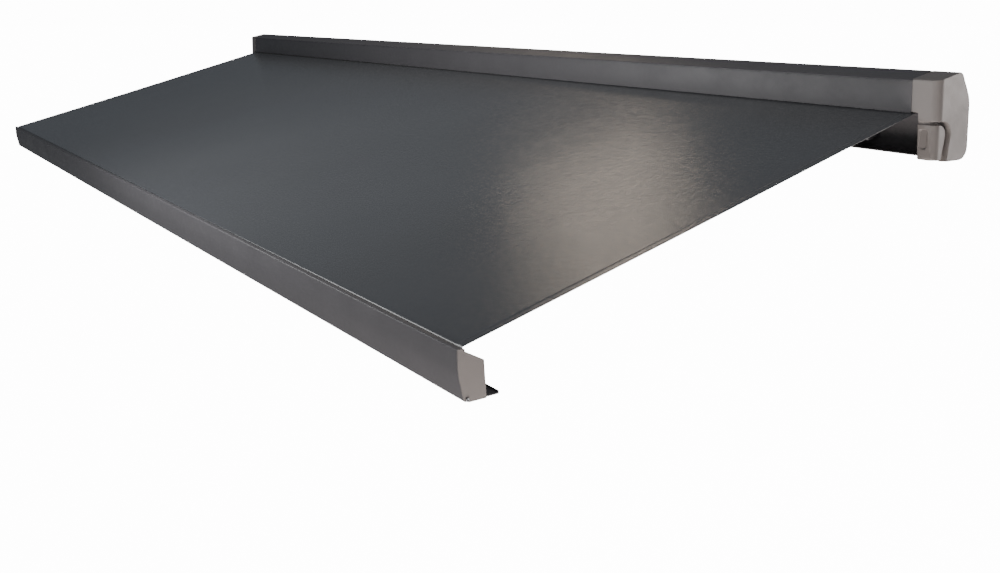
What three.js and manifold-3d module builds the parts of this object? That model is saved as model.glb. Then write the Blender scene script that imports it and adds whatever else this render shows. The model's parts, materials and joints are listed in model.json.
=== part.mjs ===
// A full-cassette folding-arm awning, 4.5 m wide, shown fully extended.
// Millimetres. +X runs along the wall, +Y points into the wall, +Z is up.
// The origin is in the middle of the middle wall bracket's back face.
import * as THREE from "three";
import { mergeVertices } from "three/addons/utils/BufferGeometryUtils.js";
import Module from "manifold-3d";

const wasm = await Module();
wasm.setup();

// Driving sizes.
const SLOPE = THREE.MathUtils.degToRad(15.3);
const CASING_WIDTH = 4500;
const BAR_WIDTH = 4380;
const FABRIC_WIDTH = 4364;
const CAP_WIDTH = 75.5;
const SEAM = 0.5;
const WALL_THICKNESS = 3;
const HOOD_THICKNESS = 2.2;
const SLIP = 0.3;

// The casing's section: distances from the wall are negative.
const CASING_BACK = -20;
const CASING_TOP = 108;
const CASING_FLOOR = -106;
const HOOD_FRONT = -141;
const HOOD_CREASE = 87;
const HOOD_LIP = 6;
const CAP_OVERLAP = 2.5;

// The front bar: its top front corner when extended.
const BAR_Y = -1440;
const BAR_Z = -352;
const BAR_DEPTH = 52;
const BAR_HEIGHT = 100;

// The roller and its cloth.
const ROLLER_Y = -78;
const TUBE_RADIUS = 31.5;
const TUBE_WALL = 1.5;
const CLOTH = 1.0;
const CLOTH_CLEARANCE = 0.4;
const CLOTH_AT_BAR = [BAR_Y + 12, BAR_Z + 3.4];

// The arms: equal links, so that the front bar travels straight down the slope.
const LINK = 765;
const SHOULDER_X = 1950;
const SHOULDER_Y = -59;
const WRIST_Y = BAR_Y + 50;
const ARM_DROP = 75;
const UPPER_TUBE = { width: 28, height: 44, offset: 13 };
const FORE_TUBE = { width: 26, height: 40, offset: 16 };
const PIN_RADIUS = 6;
const PIN_FIT = 0.05;
const PIN_SIDES = 20;

const tan = Math.tan(SLOPE);
const cos = Math.cos(SLOPE);
const clothHeight = (y) => CLOTH_AT_BAR[1] + (y - CLOTH_AT_BAR[0]) * tan;
const clothRadius = TUBE_RADIUS + CLOTH_CLEARANCE + CLOTH / 2;
const ROLLER_Z = clothHeight(ROLLER_Y) + clothRadius / cos;
const SHOULDER_Z = clothHeight(SHOULDER_Y) - ARM_DROP / cos;
const REACH = (SHOULDER_Y - WRIST_Y) / cos;
const OPEN_ANGLE = Math.asin(REACH / (2 * LINK));
const CASING_END = CASING_WIDTH / 2;
const CAP_START = CASING_END - CAP_WIDTH;
const BAR_END = BAR_WIDTH / 2;

// Finishes.
const finish = (color, roughness, metalness) => ({ color, roughness, metalness });
const coated = finish(0x4c4a4d, 0.42, 0.55);
const coatedCap = finish(0x6f6867, 0.45, 0.4);
const cloth = finish(0x45474a, 0.75, 0.0);
const zinc = finish(0xa9adb0, 0.35, 0.9);
const castGrey = finish(0x5b5d60, 0.5, 0.6);
const plastic = finish(0x202225, 0.55, 0.0);
const motorGrey = finish(0x8d9194, 0.4, 0.7);
const steel = finish(0x9a9da0, 0.3, 1.0);

// ---------------------------------------------------------------- shapes

// A closed or open outline whose corners [u, v, radius] are rounded by arcs.
function rounded(corners, open = false, steps = 4) {
  const points = [];
  corners.forEach(([u, v, radius = 0], i) => {
    const here = new THREE.Vector2(u, v);
    const isEnd = open && (i === 0 || i === corners.length - 1);
    if (radius === 0 || isEnd) {
      points.push(here);
      return;
    }
    const [bu, bv] = corners.at(i - 1);
    const [au, av] = corners[(i + 1) % corners.length];
    const before = new THREE.Vector2(bu, bv).sub(here).normalize();
    const after = new THREE.Vector2(au, av).sub(here).normalize();
    const half = Math.acos(THREE.MathUtils.clamp(before.dot(after), -1, 1)) / 2;
    const middle = before.clone().add(after).normalize();
    const centre = here.clone().addScaledVector(middle, radius / Math.sin(half));
    const start = here.clone().addScaledVector(before, radius / Math.tan(half)).sub(centre);
    const end = here.clone().addScaledVector(after, radius / Math.tan(half)).sub(centre);
    const turn = Math.atan2(start.cross(end), start.dot(end));
    for (let k = 0; k <= steps; k += 1) {
      const spoke = start.clone().rotateAround(new THREE.Vector2(), (turn * k) / steps);
      points.push(spoke.add(centre));
    }
  });
  return points;
}

// The outline of a bent sheet: an open path and its copy, one thickness to the left of it.
function bentSheet(path, thickness) {
  const inner = path.map((point, i) => {
    const before = path[Math.max(i - 1, 0)];
    const after = path[Math.min(i + 1, path.length - 1)];
    const a = point.clone().sub(before).normalize();
    const b = after.clone().sub(point).normalize();
    const along = a.lengthSq() === 0 ? b : b.lengthSq() === 0 ? a : a.clone().add(b).normalize();
    const edge = a.lengthSq() === 0 || b.lengthSq() === 0 ? along : b;
    const stretch = 1 / Math.max(along.dot(edge), 0.5);
    const left = new THREE.Vector2(-along.y, along.x);
    return point.clone().addScaledVector(left, thickness * stretch);
  });
  return [...path, ...inner.reverse()];
}

function circle(u, v, radius, sides = 16) {
  return Array.from({ length: sides }, (_, k) => {
    const angle = (2 * Math.PI * k) / sides;
    return new THREE.Vector2(u + radius * Math.cos(angle), v + radius * Math.sin(angle));
  });
}

// A round hole whose flats clear a shaft of that radius at any angle.
function clearHole(u, v, radius, sides = PIN_SIDES) {
  return circle(u, v, (radius + PIN_FIT) / Math.cos(Math.PI / sides), sides);
}

const toAxis = {
  x: new THREE.Matrix4().makeBasis(
    new THREE.Vector3(0, 1, 0),
    new THREE.Vector3(0, 0, 1),
    new THREE.Vector3(1, 0, 0),
  ),
  y: new THREE.Matrix4().makeBasis(
    new THREE.Vector3(0, 0, 1),
    new THREE.Vector3(1, 0, 0),
    new THREE.Vector3(0, 1, 0),
  ),
  z: new THREE.Matrix4(),
};

// An outline pushed along an axis: u, v are y, z along x; z, x along y; and x, y along z.
function prism(axis, from, to, outline, holes = []) {
  const shape = new THREE.Shape(outline);
  shape.holes = holes.map((hole) => new THREE.Path(hole));
  const low = Math.min(from, to);
  const depth = Math.abs(to - from);
  const geometry = new THREE.ExtrudeGeometry(shape, { depth, bevelEnabled: false });
  geometry.translate(0, 0, low);
  return geometry.applyMatrix4(toAxis[axis]);
}

function solid(geometry) {
  const bare = geometry.clone();
  bare.deleteAttribute("normal");
  bare.deleteAttribute("uv");
  const merged = mergeVertices(bare, 1e-4);
  const vertProperties = new Float32Array(merged.attributes.position.array);
  const triVerts = new Uint32Array(merged.index.array);
  return new wasm.Manifold(new wasm.Mesh({ numProp: 3, vertProperties, triVerts }));
}

function joined(...geometries) {
  return geometries.map(solid).reduce((whole, piece) => whole.add(piece));
}

function cut(whole, ...geometries) {
  return geometries.map(solid).reduce((left, piece) => left.subtract(piece), whole);
}

// The same solid turned over, left for right along its own x.
const mirrored = (body) => body.mirror([1, 0, 0]);

function surface(body) {
  const { vertProperties, triVerts } = body.getMesh();
  const geometry = new THREE.BufferGeometry();
  geometry.setAttribute("position", new THREE.BufferAttribute(vertProperties, 3));
  geometry.setIndex(new THREE.BufferAttribute(triVerts, 1));
  const loose = geometry.toNonIndexed();
  loose.computeVertexNormals();
  return loose;
}

function add(group, name, shape, look) {
  const geometry = shape.isBufferGeometry ? shape : surface(shape);
  const mesh = new THREE.Mesh(geometry, new THREE.MeshStandardMaterial(look));
  mesh.name = name;
  group.add(mesh);
  return mesh;
}

const sides = [
  { label: "left", sign: -1 },
  { label: "right", sign: 1 },
];

// ---------------------------------------------------------------- the casing

// The rear profile is the back and the floor; the top profile is the edge above it.
const HOOD_JOIN_Y = -68;
const FLOOR_FRONT = -80;
const TOP_JOINT_Z = 60;
const HOOD_JOINT_Z = 82.8;
const SEAL_RAIL = { thickness: 1.6, top: 18, slant: 0.5, blade: 2.46 };
const RAIL = { top: 52, foot: 32.5, back: -10, root: 8, thickness: 3 };
const CLAMP_RIB = { top: -64, bottom: -68, back: -8 };

function casingCorners(grow) {
  const back = CASING_BACK + grow;
  return [
    [-53, CASING_TOP - 2 + grow, 14],
    [back, 42, 70],
    [back, CASING_FLOOR - grow, 32],
  ];
}

// The point at that height on the slanting stretch between the top and back corners.
function onSlant(z) {
  const [[topY, topZ], [backY, backZ]] = casingCorners(0);
  return [backY + ((z - backZ) * (topY - backY)) / (topZ - backZ), z];
}

function topProfile() {
  const path = [onSlant(TOP_JOINT_Z + SLIP), casingCorners(0)[0], [HOOD_JOIN_Y, CASING_TOP - 2]];
  const length = CAP_START - SEAM;
  return prism("x", -length, length, bentSheet(rounded(path, true, 6), WALL_THICKNESS));
}

function rearProfile() {
  const path = rounded(
    [
      [FLOOR_FRONT, CASING_FLOOR],
      ...casingCorners(0).slice(1).reverse(),
      onSlant(TOP_JOINT_Z),
    ],
    true,
    6,
  );
  const length = CAP_START - SEAM;
  const rib = (outline) => prism("x", -length, length, rounded(outline));
  const hook = rib([
    [CASING_BACK - RAIL.root, RAIL.top],
    [RAIL.back, RAIL.top, 1],
    [RAIL.back, RAIL.foot],
    [RAIL.back - RAIL.thickness, RAIL.foot],
    [RAIL.back - RAIL.thickness, RAIL.top - RAIL.thickness],
    [CASING_BACK - RAIL.root, RAIL.top - RAIL.thickness],
  ]);
  const clamped = rib([
    [CASING_BACK - 1, CLAMP_RIB.top],
    [CLAMP_RIB.back, CLAMP_RIB.top],
    [CLAMP_RIB.back, CLAMP_RIB.bottom],
    [CASING_BACK - 1, CLAMP_RIB.bottom],
  ]);
  const partition = rib([
    [CASING_BACK + 1 - WALL_THICKNESS, -8],
    [-37, -8],
    [-37, -3, 1],
    [-40, -3, 1],
    [-40, -11, 1],
    [CASING_BACK + 1 - WALL_THICKNESS, -11],
  ]);
  const skin = prism("x", -length, length, bentSheet(path, WALL_THICKNESS));
  return joined(skin, hook, clamped, partition);
}

// The hood's top sheet slopes down to the crease and turns over it.
function hoodTop() {
  const path = rounded(
    [
      [HOOD_JOIN_Y - 1.5, CASING_TOP - 0.8],
      [HOOD_FRONT + 2, HOOD_CREASE, 5],
      [hoodFace(HOOD_JOINT_Z), HOOD_JOINT_Z],
    ],
    true,
    5,
  );
  const tongue = rounded([
    [HOOD_JOIN_Y + 10, CASING_TOP - 6],
    [HOOD_JOIN_Y - 1.4, CASING_TOP - 6],
    [HOOD_JOIN_Y - 3, CASING_TOP - 3],
    [HOOD_JOIN_Y - 12, CASING_TOP - 5],
    [HOOD_JOIN_Y - 12, CASING_TOP - 7.4],
    [HOOD_JOIN_Y + 10, CASING_TOP - 7.4],
  ]);
  const length = CAP_START - SEAM;
  const sections = [bentSheet(path, HOOD_THICKNESS), tongue];
  return joined(...sections.map((outline) => prism("x", -length, length, outline)));
}

// How far forward the hood's front face is at that height.
function hoodFace(z) {
  return HOOD_FRONT + (2 * (z - HOOD_LIP)) / (HOOD_CREASE - HOOD_LIP);
}

// The hood's front sheet hangs from the crease to just over the cloth.
function hoodFront() {
  const top = HOOD_JOINT_Z - SLIP;
  const outline = rounded([
    [hoodFace(top), top],
    [HOOD_FRONT, HOOD_LIP, 1],
    [HOOD_FRONT + HOOD_THICKNESS, HOOD_LIP, 0.6],
    [hoodFace(top) + HOOD_THICKNESS, top],
  ]);
  const length = CAP_START - SEAM;
  return prism("x", -length, length, outline);
}

// The rail behind the front sheet's foot, whose blade turns up to carry the lip seal.
function sealRail() {
  const back = HOOD_FRONT + HOOD_THICKNESS + SLIP;
  const face = back + SEAL_RAIL.thickness;
  const under = (y) => HOOD_LIP + (y - HOOD_FRONT) * SEAL_RAIL.slant;
  const tip = HOOD_FRONT + 12;
  const outline = [
    [back, under(back)],
    [tip, under(tip)],
    [tip - 1, under(tip - 1) + SEAL_RAIL.blade],
    [face, under(face) + SEAL_RAIL.blade],
    [face, SEAL_RAIL.top],
    [back, SEAL_RAIL.top],
  ];
  const length = CAP_START - SEAM;
  return prism("x", -length, length, rounded(outline));
}

function lipSeal() {
  const y = HOOD_FRONT + 12.3;
  const z = HOOD_LIP + 5;
  const outline = [
    [y, z + 1.2],
    [y, z + 6, 1],
    [y + 5, z + 6, 1],
    [y + 5, z - 1.5],
    [y + 3.4, z - 2.4],
  ];
  const length = CAP_START - 4;
  return prism("x", -length, length, rounded(outline));
}

// ---------------------------------------------------------------- end caps

const CAP_SHELL = 4;
const CORNER = { along: 32, back: 17 };
const CHEEK_START = BAR_END + 3.5;
const CHEEK_STEP = 7;
const GROOVE_STEP = 19;
const POCKET_DEPTH = 5;
const GLAND = { x: CASING_END - 36, y: -65, neck: 6, nut: 5 };

// The cap seen from above, with a long soft corner between its front and its end.
function capPlan(sign, end, front) {
  const arc = Array.from({ length: 9 }, (_, k) => {
    const angle = (Math.PI / 2) * (k / 8);
    const x = end - CORNER.along + CORNER.along * Math.sin(angle);
    const y = front + CORNER.back - CORNER.back * Math.cos(angle);
    return new THREE.Vector2(sign * x, y);
  });
  const inside = sign * (CAP_START - 1);
  return [
    new THREE.Vector2(inside, front),
    ...arc,
    new THREE.Vector2(sign * end, 0),
    new THREE.Vector2(inside, 0),
  ];
}

function cappedPrism(sign, start, end, front, outline) {
  const raw = solid(prism("x", sign * start, sign * end, outline));
  const plan = solid(prism("z", CASING_FLOOR - 20, CASING_TOP + 20, capPlan(sign, end, front)));
  return raw.intersect(plan);
}

function endCap(sign) {
  const outer = (inset, steps) =>
    rounded(
      [
        [HOOD_FRONT + inset, CASING_FLOOR - CAP_OVERLAP + inset, 7],
        [HOOD_FRONT + inset, HOOD_CREASE + CAP_OVERLAP - inset, 5],
        ...casingCorners(CAP_OVERLAP - inset),
      ],
      false,
      steps,
    );
  const quarter = rounded([
    [HOOD_FRONT - 20, -11],
    [-84, -11, 28],
    [-104, CASING_FLOOR - 20],
    [HOOD_FRONT - 20, CASING_FLOOR - 20],
  ], false, 8);
  const cheek = rounded([
    [HOOD_FRONT + 0.5, -19, 2],
    [-93, -19, 24],
    [-112, CASING_FLOOR + 1, 2],
    [HOOD_FRONT + 4, CASING_FLOOR + 1, 7],
  ], false, 8);
  const end = CASING_END;
  const shell = cappedPrism(sign, CAP_START, end, HOOD_FRONT - 1, outer(0, 7));
  const upper = shell.subtract(solid(prism("x", sign * (CAP_START - 2), sign * (end + 2), quarter)));
  const floor = cappedPrism(sign, CHEEK_START, end - GROOVE_STEP, HOOD_FRONT + 3, outer(2, 7));
  const cheekBody = cappedPrism(sign, CHEEK_START, end - CHEEK_STEP, HOOD_FRONT + 0.5, cheek);
  const hollow = cappedPrism(sign, CAP_START - 2, end - CAP_SHELL, HOOD_FRONT + CAP_SHELL, [
    ...rounded(
      [
        [HOOD_FRONT + CAP_SHELL, -4, 3],
        [HOOD_FRONT + CAP_SHELL, HOOD_CREASE - 2, 4],
        ...casingCorners(CAP_OVERLAP - CAP_SHELL),
        [-78, CASING_FLOOR - CAP_OVERLAP + CAP_SHELL, 3],
        [-78, -4, 3],
      ],
      false,
      6,
    ),
  ]);
  const mouth = prism("x", sign * (CAP_START - 2), sign * CHEEK_START, rounded([
    [HOOD_FRONT - 20, HOOD_LIP + 2],
    [-70, HOOD_LIP + 2],
    [-70, CASING_FLOOR + 2],
    [HOOD_FRONT - 20, CASING_FLOOR + 2],
  ]));
  const low = CHEEK_START + 4;
  const pocket = prism("y", HOOD_FRONT - 2, HOOD_FRONT + POCKET_DEPTH, rounded([
    [-80, sign * low, 9],
    [-80, sign * (low + 23), 9],
    [-30, sign * (low + 23), 9],
    [-30, sign * low, 9],
  ]));
  const glandOutline = circle(GLAND.x, GLAND.y, GLAND.neck + SLIP);
  const glandHole = prism("z", CASING_FLOOR - 10, CASING_FLOOR + 10, glandOutline);
  return cut(upper.add(floor).add(cheekBody).subtract(hollow), mouth, pocket, glandHole);
}

// ---------------------------------------------------------------- wall brackets

const BRACKET_X = [-1500, 0, 1500];
const BRACKET = { width: 150, top: 78, bottom: -92, thickness: 6 };
const CLAMP_SCREW = { y: -13.5, radius: 3.9, head: 6.5, headHeight: 5.3 };
const WALL_HOLE = { radius: 5.5, side: 45, z: [60, -52] };

function wallBracket(x) {
  const half = BRACKET.width / 2;
  const section = rounded([
    [0, BRACKET.bottom],
    [0, BRACKET.top, 2],
    [-BRACKET.thickness, BRACKET.top, 2],
    [-BRACKET.thickness, RAIL.foot - SLIP],
    [RAIL.back - RAIL.thickness - 1, RAIL.foot - SLIP],
    [RAIL.back - RAIL.thickness - 1, RAIL.foot + 10],
    [RAIL.back - RAIL.thickness - 4.2, RAIL.foot + 8],
    [RAIL.back - RAIL.thickness - 4.2, RAIL.foot - 5, 2],
    [-BRACKET.thickness, RAIL.foot - 8, 2],
    [-BRACKET.thickness, -76],
    [CASING_BACK + SLIP, -76],
    [CASING_BACK + SLIP, -86, 1],
    [-BRACKET.thickness, -86, 2],
    [-BRACKET.thickness, BRACKET.bottom, 2],
  ]);
  const body = solid(prism("x", x - half, x + half, section));
  const holes = [-WALL_HOLE.side, WALL_HOLE.side].flatMap((side) =>
    WALL_HOLE.z.map((z) => {
      const outline = circle(z, x + side, WALL_HOLE.radius, 12);
      return prism("y", -BRACKET.thickness - 1, 1, outline);
    }),
  );
  const clampHole = prism("z", -95, -70, circle(x, CLAMP_SCREW.y, CLAMP_SCREW.radius + SLIP));
  return cut(body, ...holes, clampHole);
}

function clampScrew(x) {
  const under = -86 - SLIP;
  const { y, radius, head: headRadius, headHeight } = CLAMP_SCREW;
  const shank = prism("z", under - 1, CLAMP_RIB.bottom - SLIP, circle(x, y, radius));
  const head = prism("z", under - headHeight, under, circle(x, y, headRadius, 6));
  return joined(shank, head);
}

// ---------------------------------------------------------------- roller, motor and cloth

const TUBE_END = 2160;
const KEDER_GROOVE = { out: 27.4, shell: 4.1, bore: 3.1, rod: 2.7, slot: 1.3, angle: Math.PI / 3 };
const SPIDER = { radius: 29.7, wide: 30, notchGap: 0.6 };
const MOTOR = { radius: 22, length: 560, neck: 18, head: 29, headLength: 16 };
const DRIVE = { radius: 7, bore: 7.5, journal: 22 };
const IDLER = { radius: 7, length: 50, collar: 13 };
const PLATE = { inner: 2184, thickness: 5 };
const SPIGOT = { radius: 12, bore: 12.4 };

const onRoller = (radius, sides) => circle(ROLLER_Y, ROLLER_Z, radius, sides);

const grooveAt = (distance) => [
  ROLLER_Y + distance * Math.cos(KEDER_GROOVE.angle),
  ROLLER_Z + distance * Math.sin(KEDER_GROOVE.angle),
];

function rollerTube() {
  const inner = TUBE_RADIUS - TUBE_WALL;
  const along = (outline, holes) => prism("x", -TUBE_END, TUBE_END, outline, holes);
  const tube = along(onRoller(TUBE_RADIUS, 32), [onRoller(inner, 32)]);
  const channel = along(circle(...grooveAt(KEDER_GROOVE.out), KEDER_GROOVE.shell));
  const through = (outline) => prism("x", -TUBE_END - 1, TUBE_END + 1, outline);
  const bore = through(circle(...grooveAt(KEDER_GROOVE.out), KEDER_GROOVE.bore));
  const [y0, z0] = grooveAt(KEDER_GROOVE.out);
  const [y1, z1] = grooveAt(TUBE_RADIUS + 2);
  const { angle, slot: halfSlot } = KEDER_GROOVE;
  const across = [-Math.sin(angle) * halfSlot, Math.cos(angle) * halfSlot];
  const slot = through([
    new THREE.Vector2(y0 + across[0], z0 + across[1]),
    new THREE.Vector2(y1 + across[0], z1 + across[1]),
    new THREE.Vector2(y1 - across[0], z1 - across[1]),
    new THREE.Vector2(y0 - across[0], z0 - across[1]),
  ]);
  const round = solid(along(onRoller(TUBE_RADIUS, 32)));
  return cut(joined(tube, channel), bore, slot).intersect(round);
}

// A ribbed wheel that fills the tube's bore, notched for the cloth groove.
function spider(from, to, bore) {
  const whole = solid(prism("x", from, to, onRoller(SPIDER.radius, 36)));
  const notchRadius = KEDER_GROOVE.shell + SPIDER.notchGap;
  const notch = prism("x", from - 1, to + 1, circle(...grooveAt(KEDER_GROOVE.out), notchRadius));
  const flutes = [1, 2, 3, 4, 5].map((k) => {
    const angle = KEDER_GROOVE.angle + (k * Math.PI) / 3;
    const y = ROLLER_Y + SPIDER.radius * Math.cos(angle);
    const z = ROLLER_Z + SPIDER.radius * Math.sin(angle);
    return prism("x", from - 1, to + 1, circle(y, z, 4, 10));
  });
  const hole = prism("x", from - 1, to + 1, bore);
  return cut(whole, notch, ...flutes, hole);
}

const ROLLER_FACE = TUBE_END - 4;
const DRIVE_X = ROLLER_FACE - MOTOR.length;

const MOTOR_NOSE = DRIVE_X + SPIDER.wide + 8;

// The fixed motor tube, with a bearing bore in its nose for the output shaft.
function motorBody() {
  const body = prism("x", MOTOR_NOSE, ROLLER_FACE - 34, onRoller(MOTOR.radius, 32));
  const headFace = PLATE.inner - MOTOR.headLength - SLIP;
  const neck = prism("x", ROLLER_FACE - 35, headFace, onRoller(MOTOR.neck, 24));
  const bearing = clearHole(ROLLER_Y, ROLLER_Z, DRIVE.radius);
  const boreEnd = MOTOR_NOSE + DRIVE.journal + 2;
  return cut(joined(body, neck), prism("x", MOTOR_NOSE - 1, boreEnd, bearing));
}

// The output shaft: a hexagon in the drive wheel and a round journal in the motor's nose.
function motorShaft() {
  const hexagon = prism("x", DRIVE_X - 6, MOTOR_NOSE - 2, onRoller(DRIVE.radius, 6));
  const journal = prism("x", MOTOR_NOSE - 3, MOTOR_NOSE + DRIVE.journal, onRoller(DRIVE.radius, 20));
  return joined(hexagon, journal);
}

function motorHead() {
  const flange = prism("x", PLATE.inner - MOTOR.headLength, PLATE.inner - SLIP, onRoller(MOTOR.head, 32));
  const spigot = prism("x", PLATE.inner - 1, PLATE.inner + PLATE.thickness + 6, onRoller(SPIGOT.radius, 4));
  return joined(flange, spigot);
}

function bearingPlate(sign, hole) {
  const outline = rounded([
    [-128, 6, 6],
    [-128, 76, 8],
    [-66, 95, 8],
    [-36, 44, 26],
    [-36, 6, 6],
  ]);
  const from = sign * PLATE.inner;
  const to = sign * (PLATE.inner + PLATE.thickness);
  const plate = solid(prism("x", from, to, outline));
  const bore = prism("x", sign * (PLATE.inner - 2), sign * (PLATE.inner + PLATE.thickness + 2), hole);
  return cut(plate, bore);
}

function idlerPin() {
  const from = -(PLATE.inner + PLATE.thickness + 8);
  const pin = prism("x", from, -(ROLLER_FACE - 40), onRoller(IDLER.radius, PIN_SIDES));
  const collar = prism("x", -(PLATE.inner - SLIP), -(PLATE.inner - 8), onRoller(IDLER.collar, PIN_SIDES));
  return joined(pin, collar);
}

function cableGland() {
  const { x, y } = GLAND;
  const inside = prism("z", CASING_FLOOR + 4 + SLIP - 2.5, CASING_FLOOR + 11, circle(x, y, 9, 6));
  const low = CASING_FLOOR - CAP_OVERLAP - SLIP;
  const outside = prism("z", low - GLAND.nut, low, circle(x, y, 9.5, 6));
  const neck = prism("z", low - 1, CASING_FLOOR + 8, circle(x, y, GLAND.neck, 16));
  const bore = prism("z", low - GLAND.nut - 1, CASING_FLOOR + 13, circle(x, y, 3.4, 12));
  return cut(joined(inside, outside, neck), bore);
}

const WRAP_INSET = 40;

// The cloth: a safety turn round the tube, then one flat stretch to the front bar's groove.
function awningCloth() {
  const half = FABRIC_WIDTH / 2;
  const outerRadius = TUBE_RADIUS + CLOTH_CLEARANCE + CLOTH + 0.4;
  const wrapHalf = half - WRAP_INSET;
  const wrap = prism("x", -wrapHalf, wrapHalf, onRoller(outerRadius, 32), [
    onRoller(TUBE_RADIUS + CLOTH_CLEARANCE, 32),
  ]);
  const tangentY = ROLLER_Y + clothRadius * Math.sin(SLOPE);
  const path = [
    new THREE.Vector2(tangentY, clothHeight(tangentY) + CLOTH / 2),
    new THREE.Vector2(CLOTH_AT_BAR[0], CLOTH_AT_BAR[1] + CLOTH / 2),
    new THREE.Vector2(BAR_Y + 8.4, BAR_Z + 1.9),
    new THREE.Vector2(BAR_Y + 8.2, BAR_Z - 3.2),
  ];
  const stretch = prism("x", -wrapHalf, wrapHalf, bentSheet(path, CLOTH));
  const edgeStart = HOOD_FRONT + 60;
  const edgePath = [
    new THREE.Vector2(edgeStart, clothHeight(edgeStart) + CLOTH / 2),
    ...path.slice(1),
  ];
  const edge = (sign) => prism("x", sign * (wrapHalf - 1), sign * half, bentSheet(edgePath, CLOTH));
  return joined(wrap, stretch, edge(-1), edge(1));
}

// ---------------------------------------------------------------- front bar

const BAR_WALL = 2.4;
const CAP_SCREW = { y: BAR_Y + 15.4, z: BAR_Z - 94, hole: 2.3, shank: 1.9, head: 3.8, drive: 1.8 };
const KEDER = { y: 6.8, z: -6.4, rod: 2.6 };
const inBar = (corners) => corners.map(([y, z, radius = 0]) => [BAR_Y + y, BAR_Z + z, radius]);

// The front profile: a bowed face, a cloth groove behind the top lip, a sloping
// shoulder over the arms, a valance groove at the foot and a flange under the arms.
function frontProfile() {
  const face = rounded(
    inBar([
      [5.8, 3],
      [-5, 2.2, 3],
      [-3.5, -42, 150],
      [8.5, -96.5, 3],
      [13.6, -BAR_HEIGHT],
    ]),
    true,
    8,
  );
  const flange = rounded(inBar([
    [18.4, -BAR_HEIGHT],
    [87, -98.4],
    [87, -92],
    [84.8, -92],
    [84.6, -96],
    [24.5, -97.4],
    [24.5, -88, 1],
    [8, -88],
    [8, -90.4],
    [22.1, -90.4],
    [22.1, -97.6],
    [18.4, -97.6],
  ]));
  const head = rounded(inBar([
    [-4, 2],
    [6, 3],
    [6, -1.5],
    [3, -3.5],
    [3, -9.6, 1.5],
    [10.6, -9.6, 1.5],
    [10.6, -3.5],
    [9.6, -1.5],
    [9.6, 0.2],
    [13, 0.6, 0.8],
    [13, -54],
    [10.8, -54],
    [10.8, -12.4, 1.5],
    [-3.4, -12.4],
  ]));
  const length = BAR_END - 4;
  const whole = (outline) => prism("x", -length, length, outline);
  return joined(whole(bentSheet(face, BAR_WALL)), whole(flange), whole(head));
}

function barCap(sign) {
  const outline = rounded(inBar([
    [-4.6, 2.4, 1],
    [6.5, 2.9, 1],
    [8, -1],
    [BAR_DEPTH, -25, 2],
    [BAR_DEPTH + 5, -96.6, 2],
    [BAR_DEPTH + 5, -BAR_HEIGHT + 0.8],
    [20, -BAR_HEIGHT, 1],
    [9, -96.8, 2],
    [-3.2, -42, 150],
  ]), false, 8);
  const from = sign * (BAR_END - 3.7);
  const plate = solid(prism("x", from, sign * BAR_END, outline));
  const holeOutline = circle(CAP_SCREW.y, CAP_SCREW.z, CAP_SCREW.hole, 14);
  const screwHole = prism("x", sign * (BAR_END - 8), sign * (BAR_END + 2), holeOutline);
  return cut(plate, screwHole);
}

function capScrew(sign) {
  const { y, z } = CAP_SCREW;
  const along = (from, to, outline) => prism("x", sign * (BAR_END + from), sign * (BAR_END + to), outline);
  const shank = along(-22, 0.4, circle(y, z, CAP_SCREW.shank, 12));
  const head = along(SLIP, 2.4, circle(y, z, CAP_SCREW.head));
  const drive = along(1, 4, circle(y, z, CAP_SCREW.drive, 6));
  return cut(joined(shank, head), drive);
}

function barKeder() {
  const length = FABRIC_WIDTH / 2;
  return prism("x", -length, length, circle(BAR_Y + KEDER.y, BAR_Z + KEDER.z, KEDER.rod, 12));
}

// ---------------------------------------------------------------- arms

// The arms lie in a plane parallel to the cloth. In this group x runs along the wall,
// y up the slope and z square to the cloth, from the shoulder pivots' height.
const EAR = { gap: 0.6, thickness: 5.5 };
const LIFT = {
  upper: UPPER_TUBE.height / 2,
  fore: FORE_TUBE.height / 2,
  tongue: 12,
};

function rectangle(halfWidth, halfHeight, u = 0, v = 0, radius = 3) {
  return rounded([
    [u - halfWidth, v - halfHeight, radius],
    [u + halfWidth, v - halfHeight, radius],
    [u + halfWidth, v + halfHeight, radius],
    [u - halfWidth, v + halfHeight, radius],
  ], false, 3);
}

// A hollow tube along the arm, between two distances from its first pivot.
function armTube(tube, from, to, sign) {
  const wall = 2.4;
  const outer = rectangle(tube.width / 2, tube.height / 2, sign * tube.offset, 0, 7);
  const inner = rectangle(tube.width / 2 - wall, tube.height / 2 - wall, sign * tube.offset, 0, 4.8);
  return prism("x", from, to, outer, [inner]);
}

// A casting: a round boss on the pivot, reaching over to the tube and plugging its bore.
function knuckle(tube, radius, tubeFrom, plugTo, sign, low, high, pin) {
  const reach = [
    [0, sign * (tube.offset - tube.width / 2), 0],
    [tubeFrom - SLIP, sign * (tube.offset - tube.width / 2), 0],
    [tubeFrom - SLIP, sign * (tube.offset + tube.width / 2), 0],
    [radius * 0.7, sign * (tube.offset + tube.width / 2), 8],
    [-radius * 0.7, sign * radius * 0.4, 6],
  ];
  const arm = prism("z", low, high, rounded(reach, false, 4));
  const boss = prism("z", low, high, circle(0, 0, radius, 20));
  const plug = prism("x", tubeFrom - 2, plugTo, rectangle(
    tube.width / 2 - 2.7,
    Math.min(tube.height / 2 - 2.7, high),
    sign * tube.offset,
    0,
    4.5,
  ));
  return cut(joined(arm, boss, plug), prism("z", low - 1, high + 1, clearHole(0, 0, pin)));
}

function hingePin(half, radius = PIN_RADIUS) {
  const shaft = prism("z", -half, half + 1, circle(0, 0, radius, 20));
  const head = prism("z", half + SLIP, half + 3.6, circle(0, 0, radius + 3.2, 20));
  return joined(shaft, head);
}

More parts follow.
